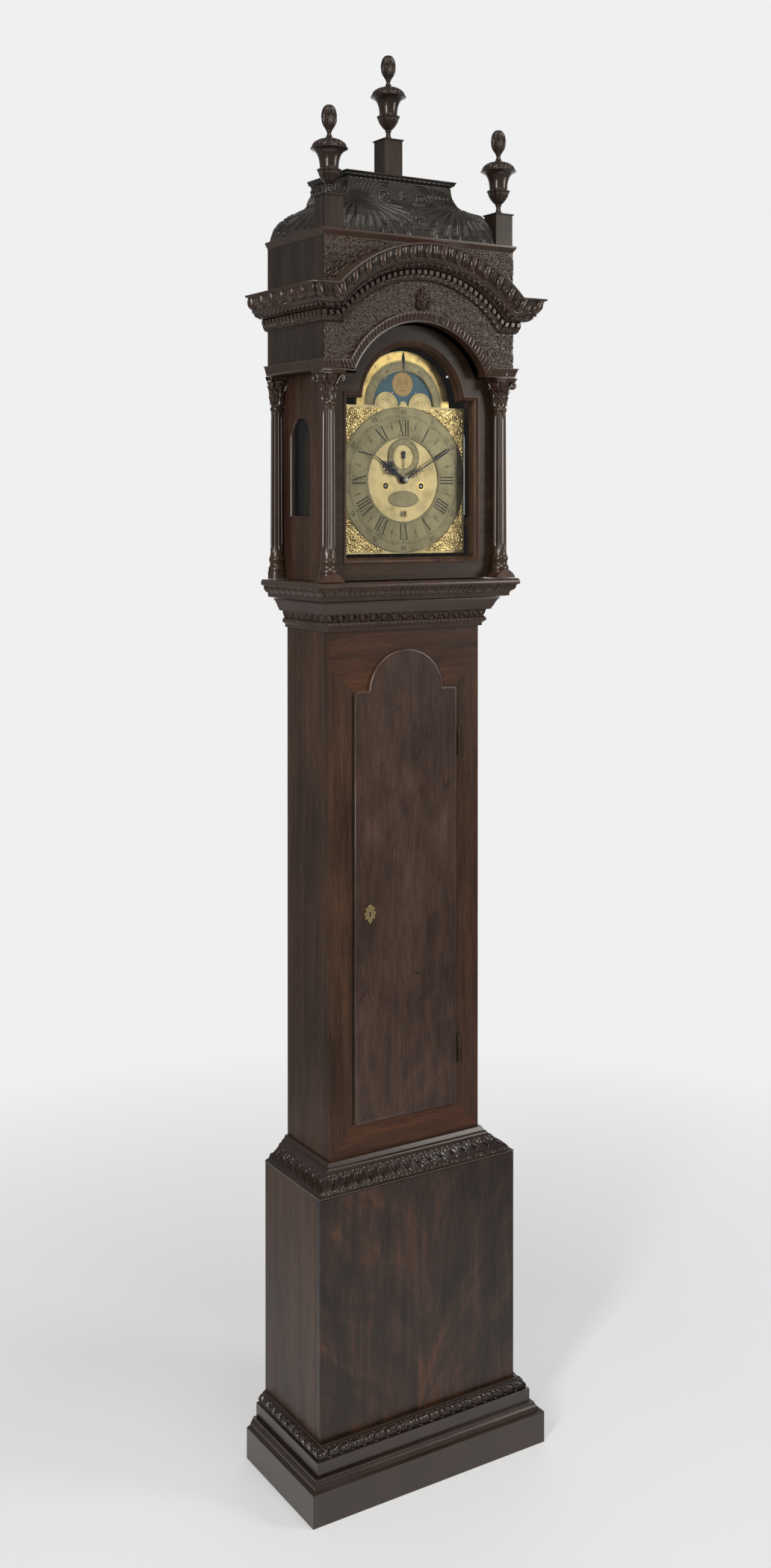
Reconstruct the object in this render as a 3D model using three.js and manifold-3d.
// Longcase clock with a twelve-inch break-arch dial, in millimetres.
// X runs to the right, +Z is up and the front faces -Y. The origin is on the floor,
// under the middle of the clock. Sizes across are half widths from the middle plane,
// and "depth" is the distance forward from the back plane, which stands at +BACK in Y.

import * as THREE from "three";
import { mergeVertices } from "three/addons/utils/BufferGeometryUtils.js";
import Module from "manifold-3d";

const wasm = await Module();
wasm.setup();

// ---------------------------------------------------------------- driving dimensions

const BACK = 141; // back plane, half the overall depth
const GAP = 0.3; // air between pieces that touch
const BOARD = 18; // carcass boards
const BACKBOARD = 15;

const BASE = { half: 232.6, depth: 226.7, bottom: 6, top: 598 };
const TRUNK = { half: 180.4, depth: 171.4, bottom: 560, side: 16, front: 14 };
const THROAT_TOP = 1758.6;
const HOOD_FLOOR = 1798; // top of the hood's base moulding
const ARCHITRAVE = { bottom: 2213, top: 2233.6, arcZ: 2144.8, radius: 171.5 };
const HOOD_BOX = { half: 226.2, depth: 231.4, top: 2472.6 };
const CORNICE = { bottom: 2304, top: 2376, arcZ: 2165.3, radius: 231.7 };
const TOP_BOARD = 2487;
const SIDE_PANEL = { inner: 183, outer: 192, front: 176.7 };

const TRUNK_DOOR = {
  half: 123.4, bottom: 705.5, shoulder: 1576, arcZ: 1568.8, radius: 90, lipFront: 178.4,
  rebate: 6.4, clearance: 1.5, axisX: 127.6, axisDepth: 178, hingeHeights: [1461, 820],
};
const HOOD_DOOR = {
  half: 191.7, bottom: 1799.3, shoulder: 2211.5, radius: 169, back: 177, front: 199,
  glassHalf: 152.5, glassBottom: 1843.7, glassShoulder: 2163.6, glassArcZ: 2154.6, glassRadius: 117,
};
const WINDOW = { depth: 79, half: 38.8, bottom: 1927.6, top: 2125.2 };
const COLUMN = { x: 206, frontDepth: 213.5, radius: 14, topRadius: 12.6, capital: 26 };
const PEDESTAL = { x: 203, depth: 212, half: 21, top: 2553.6, cap: 3, proud: 2.3 };
const CENTRE_PEDESTAL = { depth: 105, half: 21.5, bottom: 2621, top: 2704 };

const DIAL = { z: 2001, half: 150, front: 162.6, thick: 2.5, archRadius: 112, archZ: 150.6 };
const ON_DIAL = DIAL.front + GAP; // back of whatever is laid on the dial plate
const WINDING = { x: 42.7, z: -12.4 };
const ESCAPE_Z = 47;
const PALLET_Z = 73;
const PLATES = { half: 76, top: 2098, back: [54.5, 58], front: [118.5, 122] };
const SEATBOARD = { bottom: 1906, top: 1924, depths: [50, 152] };

const PENDULUM = { depth: 36, length: 994, bobRadius: 52, bobThick: 19 };
const WEIGHT = { depth: 88, radius: 28, bottom: 400, height: 190, pulleyRise: 62, pulleyRadius: 22 };
const BARREL_RADIUS = 24; // to the middle of the gut line
const LINE = { radius: 1, top: SEATBOARD.bottom - 0.6 };

// ---------------------------------------------------------------- materials

const finish = (color, metalness, roughness) =>
  new THREE.MeshStandardMaterial({ color, metalness, roughness });

const MAHOGANY = finish(0x2a1712, 0, 0.4);
const OAK = finish(0x5a4630, 0, 0.8);
const BRASS = finish(0xb08d45, 1, 0.35);
const SILVERED = finish(0x8d8668, 0.8, 0.45);
const STEEL = finish(0x22242a, 0.9, 0.35);
const MOON_BLUE = finish(0x33607c, 0.1, 0.5);
const GUT = finish(0xa98d5a, 0, 0.6);
const GLASS = new THREE.MeshStandardMaterial({
  color: 0xdfe8e4, metalness: 0, roughness: 0.05, transparent: true, opacity: 0.3,
});

// ---------------------------------------------------------------- solids

const at = (depth) => BACK - depth;

function solid(geometry) {
  const shell = geometry.index ? geometry.clone() : geometry;
  shell.deleteAttribute("normal");
  shell.deleteAttribute("uv");
  const merged = mergeVertices(shell, 1e-4);
  return new wasm.Manifold(new wasm.Mesh({
    numProp: 3,
    vertProperties: new Float32Array(merged.attributes.position.array),
    triVerts: new Uint32Array(merged.index.array),
  }));
}

function toGeometry(manifold) {
  const { vertProperties, triVerts } = manifold.getMesh();
  const geometry = new THREE.BufferGeometry();
  geometry.setAttribute("position", new THREE.BufferAttribute(vertProperties, 3));
  geometry.setIndex(new THREE.BufferAttribute(triVerts, 1));
  geometry.computeVertexNormals();
  return geometry;
}

const join = (...parts) => parts.reduce((sum, part) => sum.add(part));
const cut = (body, ...tools) => tools.reduce((rest, tool) => rest.subtract(tool), body);

function box(x0, x1, depth0, depth1, z0, z1) {
  const geometry = new THREE.BoxGeometry(x1 - x0, depth1 - depth0, z1 - z0);
  geometry.translate((x0 + x1) / 2, at((depth0 + depth1) / 2), (z0 + z1) / 2);
  return solid(geometry);
}

// A shape drawn in X and Z, from one depth to another.
function prism(shape, depth0, depth1, z = 0, curveSegments = 24) {
  const geometry = new THREE.ExtrudeGeometry(shape, {
    depth: depth1 - depth0, bevelEnabled: false, curveSegments,
  });
  geometry.rotateX(Math.PI / 2);
  geometry.translate(0, at(depth0), z);
  return solid(geometry);
}

// A shape drawn in depth and Z, from one X to another.
function sidePrism(shape, x0, x1, curveSegments = 16) {
  const geometry = new THREE.ExtrudeGeometry(shape, { depth: x1 - x0, bevelEnabled: false, curveSegments });
  geometry.applyMatrix4(new THREE.Matrix4().set(0, 0, 1, x0, -1, 0, 0, BACK, 0, 1, 0, 0, 0, 0, 0, 1));
  const positions = geometry.attributes.position;
  return solid(signedVolume(positions) < 0 ? flipped(geometry) : geometry);
}

// A profile of [radius, height] turned about an upright axis.
function turned(profile, x, depth, z, segments = 16) {
  const geometry = new THREE.LatheGeometry(profile.map(([r, h]) => new THREE.Vector2(r, h)), segments);
  geometry.rotateX(Math.PI / 2);
  geometry.translate(x, at(depth), z);
  return solid(geometry);
}

// A profile of [radius, depth] turned about an axis that runs from front to back.
function arbor(profile, x, z, segments = 20) {
  const points = profile.map(([r, depth]) => new THREE.Vector2(r, at(depth)));
  const geometry = new THREE.LatheGeometry(points, segments);
  geometry.translate(x, 0, z);
  return solid(signedVolume(geometry.toNonIndexed().attributes.position) < 0 ? flipped(geometry) : geometry);
}

const rod = (radius, depth0, depth1, x, z, segments = 10) =>
  arbor([[0, depth0], [radius, depth0], [radius, depth1], [0, depth1]], x, z, segments);

function signedVolume(positions) {
  const [a, b, c] = [new THREE.Vector3(), new THREE.Vector3(), new THREE.Vector3()];
  let volume = 0;
  for (let i = 0; i < positions.count; i += 3) {
    a.fromBufferAttribute(positions, i);
    b.fromBufferAttribute(positions, i + 1);
    c.fromBufferAttribute(positions, i + 2);
    volume += a.dot(b.cross(c)) / 6;
  }
  return volume;
}

function flipped(geometry) {
  const loose = geometry.index ? geometry.toNonIndexed() : geometry;
  const array = loose.attributes.position.array;
  for (let i = 0; i < array.length; i += 9) {
    for (let k = 0; k < 3; k += 1) {
      [array[i + 3 + k], array[i + 6 + k]] = [array[i + 6 + k], array[i + 3 + k]];
    }
  }
  return loose;
}

// A closed section carried through a row of stations, each a function from the
// section's own (u, v) to a point in space.
function loft(section, stations) {
  const outline = section.map(([u, v]) => new THREE.Vector2(u, v));
  const caps = THREE.ShapeUtils.triangulateShape(outline, []);
  const rings = stations.map((station) => section.map(([u, v]) => station(u, v)));
  const count = section.length;
  const corners = [];
  const last = rings.length - 1;
  for (const [i, j, k] of caps) {
    corners.push(rings[0][i], rings[0][k], rings[0][j], rings[last][i], rings[last][j], rings[last][k]);
  }
  for (let s = 0; s < last; s += 1) {
    for (let i = 0; i < count; i += 1) {
      const j = (i + 1) % count;
      corners.push(rings[s][i], rings[s][j], rings[s + 1][j], rings[s][i], rings[s + 1][j], rings[s + 1][i]);
    }
  }
  const geometry = new THREE.BufferGeometry();
  geometry.setAttribute("position", new THREE.Float32BufferAttribute(corners.flat(), 3));
  return solid(signedVolume(geometry.attributes.position) < 0 ? flipped(geometry) : geometry);
}

// A moulding round the front and both sides. The profile is [projection, height] from the
// face it decorates; its flat back stands on the inner box.
function moulding(profile, face, inner) {
  const section = [[null, profile[0][1]], ...profile, [null, profile[profile.length - 1][1]]];
  const half = (u) => (u === BURIED ? inner.half : face.half + u);
  const depth = (u) => (u === BURIED ? inner.depth : face.depth + u);
  const marked = section.map(([u, v]) => [u === null ? BURIED : u, v]);
  return loft(marked, [
    (u, z) => [-half(u), BACK, z],
    (u, z) => [-half(u), at(depth(u)), z],
    (u, z) => [half(u), at(depth(u)), z],
    (u, z) => [half(u), BACK, z],
  ]);
}
const BURIED = -99; // marks the back edge of a moulding's profile

// The same moulding, rising over an arch in the middle of the front.
function archedMoulding(profile, face, inner, arch, steps = 20) {
  const section = [[BURIED, profile[0][1]], ...profile, [BURIED, profile[profile.length - 1][1]]];
  const half = (u) => (u === BURIED ? inner.half : face.half + u);
  const depth = (u) => (u === BURIED ? inner.depth : face.depth + u);
  const radius = (z) => arch.radius + z - arch.bottom;
  const spring = (z) => Math.acos((z - arch.arcZ) / radius(z));
  const round = (fraction) => (u, z) => {
    const angle = spring(z) * (2 * fraction - 1);
    return [radius(z) * Math.sin(angle), at(depth(u)), arch.arcZ + radius(z) * Math.cos(angle)];
  };
  const stations = [(u, z) => [-half(u), BACK, z], (u, z) => [-half(u), at(depth(u)), z]];
  for (let i = 0; i <= steps; i += 1) stations.push(round(i / steps));
  stations.push((u, z) => [half(u), at(depth(u)), z], (u, z) => [half(u), BACK, z]);
  return loft(section, stations);
}

// Rectangles [half, depth, z] stacked from the bottom up, all with their backs on the back plane.
function stacked(levels) {
  const corners = [[-1, 0], [1, 0], [1, 1], [-1, 1]];
  return loft(corners, levels.map(([half, depth, z]) => (side, back) =>
    [side * half, back ? BACK : at(depth), z]));
}

const rectangle = (x0, x1, z0, z1) =>
  new THREE.Shape([[x0, z0], [x1, z0], [x1, z1], [x0, z1]].map(([x, z]) => new THREE.Vector2(x, z)));

// A straight-sided panel whose top steps in to an arch.
function archedPanel(half, bottom, shoulder, arcZ, radius) {
  const spring = Math.asin((shoulder - arcZ) / radius);
  const shape = new THREE.Shape();
  shape.moveTo(-half, bottom);
  shape.lineTo(half, bottom);
  shape.lineTo(half, shoulder);
  shape.lineTo(radius * Math.cos(spring), shoulder);
  shape.absarc(0, arcZ, radius, spring, Math.PI - spring, false);
  shape.lineTo(-half, shoulder);
  return shape;
}

function annulus(outer, inner, depth0, depth1, x, z, segments = 64) {
  return arbor([[inner, depth0], [outer, depth0], [outer, depth1], [inner, depth1], [inner, depth0]], x, z, segments);
}

// ---------------------------------------------------------------- the scene

const clock = new THREE.Group();

function add(name, manifold, material) {
  const mesh = new THREE.Mesh(toGeometry(manifold), material);
  mesh.name = name;
  clock.add(mesh);
}

const sides = [["left", -1], ["right", 1]];
const spanX = (side, a, b) => (side < 0 ? [-b, -a] : [a, b]);

// ---------------------------------------------------------------- base and plinth

add("plinth", moulding(
  [[43.2, 0], [43.2, 63.5], [35, 66.5], [30, 74], [27.5, 77.5], [21, 81], [21, 107.6],
    [15.5, 110], [15, 117], [10, 124], [3.5, 128.4]],
  { half: BASE.half, depth: BASE.depth + 6.6 },
  { half: BASE.half + GAP, depth: BASE.depth + GAP },
), MAHOGANY);

add("base_front", box(-BASE.half, BASE.half, BASE.depth - BOARD, BASE.depth, BASE.bottom, BASE.top), MAHOGANY);
for (const [name, side] of sides) {
  const [x0, x1] = spanX(side, BASE.half - BOARD, BASE.half);
  add(`base_side_${name}`, box(x0, x1, 0, BASE.depth - BOARD - GAP, BASE.bottom, BASE.top), MAHOGANY);
}

add("waist_moulding", moulding(
  [[53, 598.3], [53, 600.5], [48.5, 604], [37.7, 611], [28.9, 615.5], [23.4, 624], [14.6, 633],
    [11.5, 634.5], [10.8, 638], [7.5, 642], [4.6, 646]],
  { half: TRUNK.half, depth: TRUNK.depth + 2 },
  { half: TRUNK.half + GAP, depth: TRUNK.depth + GAP },
), MAHOGANY);

// ---------------------------------------------------------------- trunk

const openingHalf = TRUNK_DOOR.half - TRUNK_DOOR.rebate;
const openingBottom = TRUNK_DOOR.bottom + TRUNK_DOOR.rebate;
const openingShoulder = TRUNK_DOOR.shoulder - TRUNK_DOOR.rebate;
const openingRadius = TRUNK_DOOR.radius - TRUNK_DOOR.rebate;
const trunkInner = TRUNK.depth - TRUNK.front;

add("trunk_front", cut(
  box(-TRUNK.half, TRUNK.half, trunkInner, TRUNK.depth, TRUNK.bottom, THROAT_TOP),
  prism(archedPanel(openingHalf, openingBottom, openingShoulder, TRUNK_DOOR.arcZ, openingRadius),
    trunkInner - 1, TRUNK.depth + 1),
), MAHOGANY);
for (const [name, side] of sides) {
  const [x0, x1] = spanX(side, TRUNK.half - TRUNK.side, TRUNK.half);
  add(`trunk_side_${name}`, box(x0, x1, 0, trunkInner - GAP, TRUNK.bottom, SEATBOARD.bottom - GAP), MAHOGANY);
}

const backHalf = TRUNK.half - TRUNK.side - GAP;
const backboardShape = new THREE.Shape([
  [BASE.half - BOARD - GAP, BASE.bottom], [BASE.half - BOARD - GAP, TRUNK.bottom - GAP],
  [backHalf, TRUNK.bottom - GAP], [backHalf, SEATBOARD.bottom], [SIDE_PANEL.inner - 1, SEATBOARD.bottom],
  [SIDE_PANEL.inner - 1, 2360],
].flatMap(([x, z], i, list) => [new THREE.Vector2(x, z), new THREE.Vector2(-x, z)])
  .reduce((ring, point, i) => (i % 2 ? [point, ...ring] : [...ring, point]), []));
add("backboard", prism(backboardShape, 0, BACKBOARD), OAK);

add("throat_moulding", moulding(
  [[5.2, 1697.5], [6, 1705.5], [11, 1708], [12.7, 1712.5], [9.3, 1717], [9.3, 1726], [18.8, 1733.5],
    [22.7, 1740.5], [29.8, 1754.4], [32.2, THROAT_TOP]],
  { half: TRUNK.half, depth: TRUNK.depth + 1.5 },
  { half: TRUNK.half + GAP, depth: TRUNK.depth + GAP },
), MAHOGANY);

// The door: a lipped face over a body that drops into the opening.
const lip = archedPanel(TRUNK_DOOR.half, TRUNK_DOOR.bottom, TRUNK_DOOR.shoulder, TRUNK_DOOR.arcZ, TRUNK_DOOR.radius);
const doorBody = archedPanel(openingHalf - TRUNK_DOOR.clearance, openingBottom + TRUNK_DOOR.clearance,
  openingShoulder - TRUNK_DOOR.clearance, TRUNK_DOOR.arcZ, openingRadius - TRUNK_DOOR.clearance);
add("trunk_door", cut(
  join(prism(lip, TRUNK.depth + GAP, TRUNK_DOOR.lipFront), prism(doorBody, trunkInner, TRUNK.depth + 1)),
  box(-91.5, -87.9, trunkInner - 1, TRUNK_DOOR.lipFront + 1, 1121, 1133),
), MAHOGANY);

const ESCUTCHEON = { x: -89.7, z: 1128, half: 15.8, rise: 21.8, thick: 1.5 };
const plate = new THREE.Shape();
plate.moveTo(0, -ESCUTCHEON.rise);
plate.quadraticCurveTo(4, -10, ESCUTCHEON.half, 0);
plate.quadraticCurveTo(4, 8, 0, ESCUTCHEON.rise);
plate.quadraticCurveTo(-4, 8, -ESCUTCHEON.half, 0);
plate.quadraticCurveTo(-4, -10, 0, -ESCUTCHEON.rise);
const keyhole = new THREE.Path();
keyhole.absarc(0, 2, 1.8, 0, Math.PI * 2, true);
plate.holes.push(keyhole);
const escutcheon = prism(plate, TRUNK_DOOR.lipFront + GAP, TRUNK_DOOR.lipFront + GAP + ESCUTCHEON.thick, ESCUTCHEON.z, 8);
add("escutcheon", escutcheon.translate([ESCUTCHEON.x, 0, 0]), BRASS);

TRUNK_DOOR.hingeHeights.forEach((z, i) => {
  const knuckle = turned([[0, -30], [3.2, -30], [3.2, 30], [0, 30]], TRUNK_DOOR.axisX, TRUNK_DOOR.axisDepth, z, 16);
  const leaf = box(TRUNK_DOOR.half + GAP, TRUNK_DOOR.axisX, 175.6, 177.2, z - 30, z + 30);
  add(`trunk_hinge_${["upper", "lower"][i]}`, join(knuckle, leaf), BRASS);
});

// ---------------------------------------------------------------- movement: seatboard, plates and dial

const lineX = (barrelX) => ({ fall: barrelX - BARREL_RADIUS, fixed: barrelX - BARREL_RADIUS + 2 * WEIGHT.pulleyRadius });
const trains = [["going", WINDING.x], ["strike", -WINDING.x]];

add("seatboard", cut(
  box(-TRUNK.half, TRUNK.half, ...SEATBOARD.depths, SEATBOARD.bottom, SEATBOARD.top),
  ...trains.map(([, x]) => box(lineX(x).fall - 4, lineX(x).fall + 4, 76, 100, 1900, 1930)),
), OAK);

const dialZ = DIAL.z;
const hole = (radius, x, z) => rod(radius, PLATES.back[0] - 1, DIAL.front + 1, x, dialZ + z, 14);

const movementHoles = [
  ...trains.map(([, x]) => hole(4.5, x, WINDING.z)), hole(3, 0, 0), hole(2, 0, ESCAPE_Z), hole(2.2, 0, PALLET_Z),
];
add("movement_front_plate", cut(
  box(-PLATES.half, PLATES.half, ...PLATES.front, SEATBOARD.top + GAP, PLATES.top), ...movementHoles,
), BRASS);

const pillarSpots = [[-66, -62], [66, -62], [-60, 82], [60, 82]];
const pillars = pillarSpots.map(([x, z]) =>
  rod(5, PLATES.back[1] - 0.5, PLATES.front[0] - GAP, x, dialZ + z, 12));
const PIVOT_Z = dialZ + PALLET_Z;
const cock = box(-15, 15, 30, PLATES.back[0] + 0.5, PIVOT_Z + 6, PIVOT_Z + 18);
add("movement_back_plate", join(
  cut(box(-PLATES.half, PLATES.half, ...PLATES.back, SEATBOARD.top + GAP, PLATES.top), ...movementHoles),
  ...pillars, cock,
), BRASS);

// The dial plate: a square with a broken arch on top, cut for the moon, the date and the arbors.
const dialShape = new THREE.Shape();
dialShape.moveTo(-DIAL.half, -DIAL.half);
dialShape.lineTo(DIAL.half, -DIAL.half);
dialShape.lineTo(DIAL.half, DIAL.half);
dialShape.lineTo(DIAL.archRadius, DIAL.half);
dialShape.absarc(0, DIAL.archZ, DIAL.archRadius, 0, Math.PI, false);
dialShape.lineTo(-DIAL.archRadius, DIAL.half);
dialShape.lineTo(-DIAL.half, DIAL.half);

const MOON = { window: 72, hump: 28, humpX: 41, dome: 10, disc: 74, stud: 2 };
const DATE = { inner: 60, outer: 76, z: -69.4, halfX: 7, halfZ: 5.5 };

const dialBack = DIAL.front - DIAL.thick;
const throughDial = (radius, x, z, segments = 16) =>
  rod(radius, dialBack - 1, DIAL.front + 1, x, dialZ + z, segments);
const feet = [[-68, -58], [68, -58], [-68, 62], [68, 62]].map(([x, z]) =>
  rod(4, PLATES.front[1] + GAP, dialBack + 0.5, x, dialZ + z));
const guides = [-30, 90, 210].map((angle) => angle * Math.PI / 180).map((angle) =>
  rod(1.6, dialBack - 3, dialBack + 0.5, 57.8 * Math.cos(angle), dialZ + 57.8 * Math.sin(angle), 10));
const moonStud = rod(MOON.stud, dialBack - 3, dialBack + 0.5, 0, dialZ + DIAL.archZ);
const acrossDial = [dialBack - 1, DIAL.front + 1];
const moonWindow = cut(
  throughDial(MOON.window, 0, DIAL.archZ, 40), box(-80, 80, 150, 170, dialZ + 60, dialZ + DIAL.archZ),
  ...sides.map(([, side]) => throughDial(MOON.hump, side * MOON.humpX, DIAL.archZ, 24)),
  throughDial(MOON.dome, 0, DIAL.archZ, 16),
);
const dateWindow = box(-DATE.halfX, DATE.halfX, ...acrossDial, dialZ + DATE.z - DATE.halfZ, dialZ + DATE.z + DATE.halfZ);
add("dial_plate", join(
  cut(prism(dialShape, dialBack, DIAL.front, dialZ, 24), moonWindow, dateWindow,
    ...trains.map(([, x]) => throughDial(6.5, x, WINDING.z)), throughDial(8, 0, 0), throughDial(2.5, 0, ESCAPE_Z)),
  ...feet, ...guides, moonStud,
), BRASS);

const RING = { outer: 149, inner: 85, thick: 1.5 };
const SECONDS = { outer: 37.6, inner: 24.5, thick: 1.1 };
add("chapter_ring", annulus(RING.outer, RING.inner, ON_DIAL, ON_DIAL + RING.thick, 0, dialZ, 64), SILVERED);
add("seconds_ring", annulus(SECONDS.outer, SECONDS.inner, ON_DIAL, ON_DIAL + SECONDS.thick, 0, dialZ + ESCAPE_Z, 36), SILVERED);

const lunarRing = new THREE.Shape();
lunarRing.absarc(0, 0, 92, 0, Math.PI, false);
lunarRing.absarc(0, 0, 73, Math.PI, 0, true);
add("lunar_ring", prism(lunarRing, ON_DIAL, ON_DIAL + 1.2, dialZ + DIAL.archZ + 0.4, 24), SILVERED);

const SPANDREL = { edge: 146, arc: 152, thick: 3 };
const reach = Math.sqrt(SPANDREL.arc ** 2 - SPANDREL.edge ** 2);
const cornerAngle = Math.atan2(reach, SPANDREL.edge);
for (const [upName, up] of [["upper", 1], ["lower", -1]]) {
  for (const [name, side] of sides) {
    const shape = new THREE.Shape();
    shape.moveTo(SPANDREL.edge, SPANDREL.edge);
    shape.lineTo(reach, SPANDREL.edge);
    shape.absarc(0, 0, SPANDREL.arc, Math.PI / 2 - cornerAngle, cornerAngle, true);
    let corner = prism(shape, ON_DIAL, ON_DIAL + SPANDREL.thick, 0, 12);
    if (side < 0) corner = corner.mirror([1, 0, 0]);
    if (up < 0) corner = corner.mirror([0, 0, 1]);
    add(`spandrel_${upName}_${name}`, corner.translate([0, 0, dialZ]), BRASS);
  }
}

const behindDial = [dialBack - 1.6, dialBack - 0.5];
add("moon_disc", annulus(MOON.disc, MOON.stud + 0.4, ...behindDial, 0, dialZ + DIAL.archZ, 40), MOON_BLUE);
add("date_ring", annulus(DATE.outer, DATE.inner, ...behindDial, 0, dialZ, 40), SILVERED);

const bar = box(-5, 5, PLATES.back[0], PLATES.front[1], PLATES.top + GAP, PLATES.top + 5);
const post = turned([[0, 0], [3, 0], [3, 46], [0, 46]], 0, 90, PLATES.top + 4, 12);
const cup = turned([[0, 49], [14, 48], [28, 41.5], [37.5, 31], [40.5, 20], [43, 20], [40, 32], [30, 44], [14, 51],
  [0, 52]], 0, 90, PLATES.top, 20);
add("bell", join(bar, post, cup), BRASS);

// ---------------------------------------------------------------- hands

// A flat hand on the dial, pointing at a clockwise angle from twelve.
function hand(outline, degrees, depth0, depth1, z) {
  const shape = new THREE.Shape(outline.map(([x, y]) => new THREE.Vector2(x, y)));
  const blade = prism(shape, depth0, depth1, 0);
  return blade.rotate([0, degrees, 0]).translate([0, 0, z]);
}

const MINUTE_ANGLE = 60; // ten past ten
const HOUR_ANGLE = -55;

const hourBlade = [[-5, 4], [-3, 14], [-13, 34], [-9, 52], [-2.5, 62], [0, 88], [2.5, 62], [9, 52], [13, 34], [3, 14], [5, 4]];
add("hour_hand", cut(join(
  hand(hourBlade, HOUR_ANGLE, 166.8, 168, dialZ),
  rod(8, 166.8, 168, 0, dialZ, 24), rod(4.5, 124, 167, 0, dialZ, 16), rod(22, 125, 127, 0, dialZ, 24),
), rod(2.7, 120, 170, 0, dialZ, 16)), STEEL);

const minuteBlade = [[-3.5, -4], [-2.5, 40], [-6, 52], [-1.6, 66], [0, 141], [1.6, 66], [6, 52], [2.5, 40], [3.5, -4]];
add("minute_hand", join(
  hand(minuteBlade, MINUTE_ANGLE, 170, 171.3, dialZ),
  rod(7, 170, 174, 0, dialZ, 24), rod(2.3, 55, 171, 0, dialZ, 16),
  rod(3.2, 59, 65, 0, dialZ, 16), rod(26, 108, 110, 0, dialZ, 24),
), STEEL);

const secondsBlade = [[-1, -27], [1, -27], [1.2, 0], [3, 8], [1, 12], [-1, 12], [-3, 8], [-1.2, 0]];
add("seconds_hand", join(
  hand(secondsBlade, 0, 165, 165.8, dialZ + ESCAPE_Z),
  rod(3.5, 164.6, 166.2, 0, dialZ + ESCAPE_Z, 16), rod(1.4, 55, 165.5, 0, dialZ + ESCAPE_Z),
  rod(14, 69, 71, 0, dialZ + ESCAPE_Z, 30),
), STEEL);

// ---------------------------------------------------------------- barrels, weights, pulleys and lines

add("great_wheel", annulus(40.8, 4.4, 60.5, 63.5, WINDING.x, dialZ + WINDING.z, 36), BRASS);

for (const [name, x] of trains) {
  const drum = [[0, 55], [4, 55], [4, 67], [27, 67], [27, 69], [23, 69], [23, 100], [27, 100], [27, 102], [4, 102],
    [4, 162], [0, 162]];
  add(`${name}_barrel`, arbor(drum, x, dialZ + WINDING.z, 24), BRASS);

  const { fall, fixed } = lineX(x);
  const weightX = (fall + fixed) / 2;
  const pulleyZ = WEIGHT.bottom + WEIGHT.height + WEIGHT.pulleyRise;
  const can = turned([[0, 0], [26, 0], [28, 3], [28, WEIGHT.height - 6], [25, WEIGHT.height], [6, WEIGHT.height + 4],
    [6, WEIGHT.height + 26], [0, WEIGHT.height + 26]], weightX, WEIGHT.depth, WEIGHT.bottom, 20);
  const yoke = cut(
    box(weightX - 6, weightX + 6, WEIGHT.depth - 8, WEIGHT.depth + 8, pulleyZ - 40, pulleyZ + 8),
    box(weightX - 30, weightX + 30, WEIGHT.depth - 5.5, WEIGHT.depth + 5.5, pulleyZ - 26, pulleyZ + 30),
  );
  const pin = rod(2, WEIGHT.depth - 7, WEIGHT.depth + 7, weightX, pulleyZ, 12);
  add(`${name}_weight`, join(can, yoke, pin), BRASS);

  const sheave = [[2.4, 83.5], [WEIGHT.pulleyRadius + 1.5, 83.5], [WEIGHT.pulleyRadius - 1.5, 88],
    [WEIGHT.pulleyRadius + 1.5, 92.5], [2.4, 92.5], [2.4, 83.5]];
  add(`${name}_pulley`, arbor(sheave, weightX, pulleyZ, 20), BRASS);

  const strand = (lineAt) => turned([[0, pulleyZ], [LINE.radius, pulleyZ], [LINE.radius, LINE.top], [0, LINE.top]],
    lineAt, WEIGHT.depth, 0, 8);
  const tie = box(fall, fixed, WEIGHT.depth - 0.9, WEIGHT.depth + 0.9, LINE.top - 2, LINE.top - 0.1);
  add(`${name}_line`, join(strand(fall), strand(fixed), tie), GUT);
}

// ---------------------------------------------------------------- pendulum and pallets

const bobZ = PIVOT_Z - PENDULUM.length;
const rodTop = PIVOT_Z + 5;
add("pendulum_rod", join(
  turned([[0, bobZ - 90], [2.6, bobZ - 90], [2.6, PIVOT_Z - 30], [0, PIVOT_Z - 30]], 0, PENDULUM.depth, 0, 12),
  turned([[0, bobZ - 78], [8, bobZ - 78], [8, bobZ - 70], [0, bobZ - 70]], 0, PENDULUM.depth, 0, 16),
  box(-5, 5, PENDULUM.depth - 3, PENDULUM.depth + 3, PIVOT_Z - 42, PIVOT_Z - 26),
  box(-4, 4, PENDULUM.depth - 0.5, PENDULUM.depth + 0.5, PIVOT_Z - 27, rodTop),
), STEEL);

const bobHalf = PENDULUM.bobThick / 2;
const lens = [[0, -bobHalf], [30, -bobHalf + 2], [PENDULUM.bobRadius - 2, -2], [PENDULUM.bobRadius, 0],
  [PENDULUM.bobRadius - 2, 2], [30, bobHalf - 2], [0, bobHalf]].map(([r, d]) => [r, PENDULUM.depth + d]);
add("pendulum_bob", cut(
  arbor(lens, 0, bobZ, 28),
  turned([[0, -80], [3, -80], [3, 80], [0, 80]], 0, PENDULUM.depth, bobZ, 12),
), BRASS);

const anchor = new THREE.Shape([[-15, -16], [-12, -16], [-8, -5], [8, -5], [12, -16], [15, -16], [13, -3], [5, 4],
  [-5, 4], [-13, -3]].map(([x, z]) => new THREE.Vector2(x, z)));
const crutchTop = box(-2, 2, 44, 47, PIVOT_Z - 95, PIVOT_Z + 3);
const fork = cut(
  box(-6.5, 6.5, 31, 47, PIVOT_Z - 98, PIVOT_Z - 94),
  box(-3.6, 3.6, 30, 42, PIVOT_Z - 99, PIVOT_Z - 93),
);
add("pallets", join(
  rod(1.6, 44, 117, 0, PIVOT_Z), prism(anchor, 68, 72, PIVOT_Z), crutchTop, fork,
), STEEL);

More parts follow.
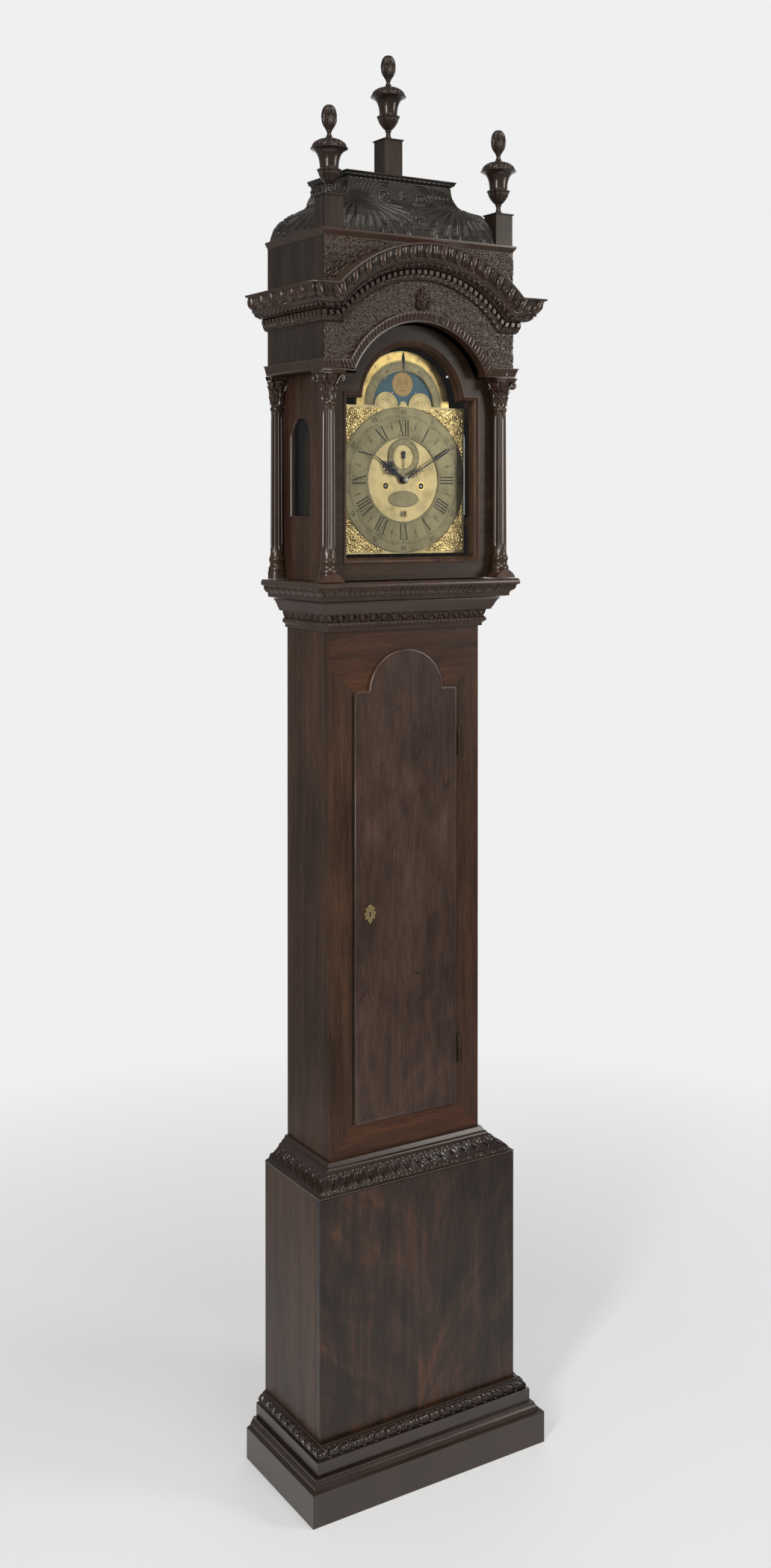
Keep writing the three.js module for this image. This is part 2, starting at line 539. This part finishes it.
// ---------------------------------------------------------------- hood

add("hood_base", moulding(
  [[32.5, THROAT_TOP + GAP], [45.2, 1761.5], [46.1, 1770], [50.8, 1772], [58.5, 1785], [62.1, 1790],
    [61, 1795], [58, HOOD_FLOOR]],
  { half: TRUNK.half, depth: 175.5 },
  { half: TRUNK.half + 1.6, depth: 178 },
), MAHOGANY);

const windowOutline = (inset) => {
  const half = WINDOW.half - inset;
  const shape = new THREE.Shape();
  shape.moveTo(WINDOW.depth - half, WINDOW.bottom + inset);
  shape.lineTo(WINDOW.depth + half, WINDOW.bottom + inset);
  shape.absarc(WINDOW.depth, WINDOW.top - WINDOW.half, half, 0, Math.PI, false);
  return shape;
};
for (const [name, side] of sides) {
  const panel = box(...spanX(side, SIDE_PANEL.inner, SIDE_PANEL.outer), 0, SIDE_PANEL.front,
    HOOD_FLOOR + GAP, ARCHITRAVE.bottom - GAP);
  const beyond = spanX(side, SIDE_PANEL.inner - 5, SIDE_PANEL.outer + 5);
  add(`hood_side_${name}`, cut(panel, sidePrism(windowOutline(0), ...beyond)), MAHOGANY);
  add(`hood_window_${name}`, sidePrism(windowOutline(GAP), ...spanX(side, 186, 188)), GLASS);
}

// The box above the columns: architrave, frieze and upper box in one carcass, closed by its top board.
const boxBottom = ARCHITRAVE.top - 0.2;
const carcass = cut(
  box(-HOOD_BOX.half, HOOD_BOX.half, 0, HOOD_BOX.depth, boxBottom, HOOD_BOX.top + 1),
  box(-HOOD_BOX.half + BOARD, HOOD_BOX.half - BOARD, -1, HOOD_BOX.depth - BOARD, boxBottom - 1, HOOD_BOX.top),
  rod(ARCHITRAVE.radius + ARCHITRAVE.top - ARCHITRAVE.bottom - 0.2, 200, 240, 0, ARCHITRAVE.arcZ, 96),
);
const architrave = archedMoulding(
  [[3.5, ARCHITRAVE.bottom], [4.6, 2222.6], [7.2, 2227], [9.8, 2232.6], [9.8, ARCHITRAVE.top]],
  { half: HOOD_BOX.half, depth: HOOD_BOX.depth },
  { half: HOOD_BOX.half - BOARD, depth: HOOD_BOX.depth - BOARD },
  ARCHITRAVE,
);
const soffits = sides.flatMap(([, side]) => [
  box(...spanX(side, SIDE_PANEL.inner + 0.3, HOOD_BOX.half - BOARD + 1), 0, HOOD_BOX.depth - BOARD + 1, 2213, 2225),
  box(...spanX(side, 159, HOOD_BOX.half - BOARD + 1), HOOD_DOOR.front + 0.6, HOOD_BOX.depth - BOARD + 1, 2213, 2225),
]);
const topBoard = stacked([[HOOD_BOX.half, HOOD_BOX.depth, HOOD_BOX.top], [227, 233, 2475], [230, 237.5, 2480], [232.4, 241.2, 2484],
  [232.4, 241.2, TOP_BOARD]]);
const pedestal = (x, depth, half, z0, z1) => join(
  box(x - half, x + half, depth - half, depth + half, z0 - 1, z1 - PEDESTAL.cap + 0.5),
  box(x - half - PEDESTAL.proud, x + half + PEDESTAL.proud, depth - half - PEDESTAL.proud,
    depth + half + PEDESTAL.proud, z1 - PEDESTAL.cap, z1),
);
const frontPedestals = sides.map(([, side]) =>
  pedestal(side * PEDESTAL.x, PEDESTAL.depth, PEDESTAL.half, TOP_BOARD, PEDESTAL.top));
add("hood_box", join(carcass, architrave, ...soffits, topBoard, ...frontPedestals), MAHOGANY);

add("cornice", archedMoulding(
  [[0.6, CORNICE.bottom], [6, 2306.7], [9.5, 2318], [15.5, 2319], [16.5, 2330], [26.5, 2335], [30.5, 2341.5],
    [35, 2342.3], [36, 2352], [43, 2357], [44.5, 2367], [50.3, 2372], [50.3, CORNICE.top]],
  { half: HOOD_BOX.half + 2, depth: HOOD_BOX.depth + GAP },
  { half: HOOD_BOX.half + GAP, depth: HOOD_BOX.depth + GAP },
  CORNICE,
), MAHOGANY);

// The bell top, hollow underneath, cut round the two front pedestals.
const CADDY_BEND = new THREE.SplineCurve([[222.3, 0], [218.8, 12], [212.3, 29], [199.7, 44], [169, 62.5], [143.2, 74.5],
  [130.3, 91.5], [125.1, 106], [123.7, 121]].map(([half, rise]) => new THREE.Vector2(half, rise)));
const caddyZ = TOP_BOARD + GAP;
const caddyDepth = (half) => 231 - (222.3 - half) * 0.8;
const bend = CADDY_BEND.getPoints(20).map(({ x, y }) => [x, caddyDepth(x), caddyZ + y]);
const caddyCap = [[127, 154, 2611], [131, 158, 2615], [133.2, 160, 2619], [133.2, 160, 2622]];
const hollow = bend.map(([half, depth, z]) => [half - 12, depth - 10, z - (z > caddyZ ? 10 : 1)]);
add("caddy", join(
  cut(stacked([...bend, ...caddyCap]), stacked(hollow),
    ...sides.map(([, side]) => box(
      ...spanX(side, PEDESTAL.x - PEDESTAL.half - 3, 260), PEDESTAL.depth - PEDESTAL.half - 3, 260, 2480, 2560))),
  pedestal(0, CENTRE_PEDESTAL.depth, CENTRE_PEDESTAL.half, CENTRE_PEDESTAL.bottom, CENTRE_PEDESTAL.top),
), MAHOGANY);

const FINIAL = [[0, 0], [12.5, 0], [5, 9], [5, 16], [16, 31.4], [21.7, 47.5], [19, 56], [22, 74], [35.6, 87.5],
  [37.5, 90.3], [28.3, 100.8], [9, 109.5], [4.2, 120], [13.3, 140], [14.4, 151], [11.7, 162], [0, 175]];
const finialSpots = [["left", -PEDESTAL.x, PEDESTAL.depth, PEDESTAL.top], ["right", PEDESTAL.x, PEDESTAL.depth, PEDESTAL.top],
  ["centre", 0, CENTRE_PEDESTAL.depth, CENTRE_PEDESTAL.top]];
for (const [name, x, depth, z] of finialSpots) {
  add(`finial_${name}`, turned(FINIAL, x, depth, z + GAP), MAHOGANY);
}

// ---------------------------------------------------------------- columns

// A turned shaft on a moulded base, with a flared capital under a square abacus.
function column(x, depth, bottom) {
  const { radius, topRadius, capital } = COLUMN;
  const top = ARCHITRAVE.bottom - GAP;
  const shaft = turned([[0, bottom], [20, bottom], [20, bottom + 16], [18.5, bottom + 18], [18.5, bottom + 26],
    [15.5, bottom + 32], [17.5, bottom + 42], [16, bottom + 50], [radius, bottom + 56], [topRadius, top - 68],
    [14.5, top - 64], [14.5, top - 58], [14, top - 56], [17, top - 34], [22, top - 12], [23, top - 8], [0, top - 8]],
  x, depth, 0, 14);
  return join(shaft, box(x - capital, x + capital, depth - capital, depth + capital, top - 9, top));
}

for (const [name, side] of sides) {
  const wall = box(...spanX(side, 100, SIDE_PANEL.outer + GAP), -60, 60, 1700, 2300);
  const behind = box(-300, 300, -60, 0, 1700, 2300);
  add(`rear_column_${name}`, cut(column(side * COLUMN.x, 0, HOOD_FLOOR + GAP), wall, behind), MAHOGANY);
}

for (const [name, side] of sides) {
  const foot = new THREE.Shape();
  foot.moveTo(-24.6, 0);
  foot.lineTo(24.6, 0);
  foot.quadraticCurveTo(12, 18, 0, 18);
  foot.quadraticCurveTo(-12, 18, -24.6, 0);
  const saddle = prism(foot, 199.6, 236, HOOD_DOOR.bottom, 8).translate([side * COLUMN.x, 0, 0]);
  const doorSlab = box(-193, 193, 150, HOOD_DOOR.front + GAP, 1700, 2300);
  add(`front_column_${name}`, join(cut(column(side * COLUMN.x, COLUMN.frontDepth, HOOD_DOOR.bottom), doorSlab), saddle),
    MAHOGANY);
}

// ---------------------------------------------------------------- hood door

const sight = (inset) => archedPanel(HOOD_DOOR.glassHalf - inset, HOOD_DOOR.glassBottom + inset,
  HOOD_DOOR.glassShoulder - inset, HOOD_DOOR.glassArcZ, HOOD_DOOR.glassRadius - inset);
add("hood_door_frame", cut(
  prism(archedPanel(HOOD_DOOR.half, HOOD_DOOR.bottom, HOOD_DOOR.shoulder, ARCHITRAVE.arcZ, HOOD_DOOR.radius),
    HOOD_DOOR.back, HOOD_DOOR.front),
  prism(sight(0), HOOD_DOOR.back - 1, HOOD_DOOR.front + 1),
), MAHOGANY);
add("hood_door_glass", prism(sight(GAP), 184, 186.5), GLASS);

export default clock;
